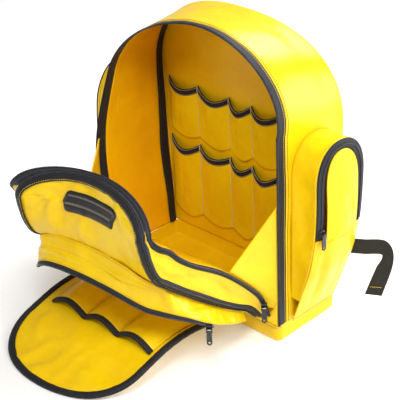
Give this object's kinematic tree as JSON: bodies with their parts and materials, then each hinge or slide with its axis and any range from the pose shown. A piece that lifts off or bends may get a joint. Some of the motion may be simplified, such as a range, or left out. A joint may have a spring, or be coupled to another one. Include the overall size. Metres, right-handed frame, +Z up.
{
  "type": "tool backpack",
  "caption": "Open tool backpack in coated cloth: arched body with inside tool pockets, zipped side pockets, and a forward lid with a let-down organizer flap.",
  "frame": {"origin": "middle of the flat base that the pack stands on", "axes": "X across the pack with +X at the viewer's right, -Y towards the open front, +Z up"},
  "size_m": [0.4936, 0.5002, 0.47],
  "materials": {
    "yellow_cloth": "coated cloth, glossy and lightly creased",
    "lining_cloth": "inner face of the coated cloth, satin",
    "zip_tape": "coil zip on woven tape, satin",
    "binding": "folded binding tape, matte",
    "webbing": "ribbed webbing, matte",
    "padded_webbing": "padded woven cloth, matte",
    "patch_rubber": "moulded rubber, matte",
    "zip_metal": "black coated die casting, satin"
  },
  "bodies": {
    "pack": {"side_wall": "yellow_cloth", "body_zip": "zip_tape", "back_seam_binding": "binding", "back_panel": "yellow_cloth", "boot": "yellow_cloth", "upper_row": "yellow_cloth", "upper_row_binding": "binding", "lower_row": "yellow_cloth", "lower_row_binding": "binding", "right_pocket_gusset": "yellow_cloth", "right_pocket_zip": "zip_tape", "right_pocket_face": "yellow_cloth", "left_pocket_gusset": "yellow_cloth", "left_pocket_zip": "zip_tape", "left_pocket_face": "yellow_cloth", "lid_zip": "zip_tape", "middle_zip": "zip_tape", "right_lid_gusset": "yellow_cloth", "left_lid_gusset": "yellow_cloth", "lid_back": "lining_cloth", "lid_front": "yellow_cloth", "right_stay": "yellow_cloth", "left_stay": "yellow_cloth", "patch": "patch_rubber", "organizer_gusset": "yellow_cloth", "organizer_zip": "zip_tape", "flap": "yellow_cloth", "flap_binding": "binding", "tool_pocket_1": "yellow_cloth", "tool_pocket_binding_1": "binding", "tool_pocket_2": "yellow_cloth", "tool_pocket_binding_2": "binding", "tool_pocket_3": "yellow_cloth", "tool_pocket_binding_3": "binding", "lid_slider": "zip_metal", "right_pocket_slider": "zip_metal", "left_pocket_slider": "zip_metal", "organizer_slider": "zip_metal", "right_waist_strap": "webbing", "left_waist_strap": "webbing", "right_shoulder_strap": "padded_webbing", "left_shoulder_strap": "padded_webbing"},
    "lid_pull_body": {"lid_pull": "zip_metal"},
    "right_pocket_pull_body": {"right_pocket_pull": "zip_metal"},
    "left_pocket_pull_body": {"left_pocket_pull": "zip_metal"},
    "organizer_pull_body": {"organizer_pull": "zip_metal"}
  },
  "joints": [
    {"name": "lid_pull_hinge", "type": "hinge", "parent": "pack", "child": "lid_pull_body", "pos_m": [0.15902, -0.08614, 0.06721], "axis": [-0.7648, -0.6442, 0], "range_deg": [0, 150]},
    {"name": "right_pocket_pull_hinge", "type": "hinge", "parent": "pack", "child": "right_pocket_pull_body", "pos_m": [0.22499, -0.0305, 0.192], "axis": [0, -1, 0], "range_deg": [0, 150]},
    {"name": "left_pocket_pull_hinge", "type": "hinge", "parent": "pack", "child": "left_pocket_pull_body", "pos_m": [-0.2396, -0.0305, 0.192], "axis": [0, 1, 0], "range_deg": [0, 150]},
    {"name": "organizer_pull_hinge", "type": "hinge", "parent": "pack", "child": "organizer_pull_body", "pos_m": [0.15442, -0.19797, 0.08648], "axis": [-0.7648, -0.6442, 0], "range_deg": [0, 150]}
  ]
}
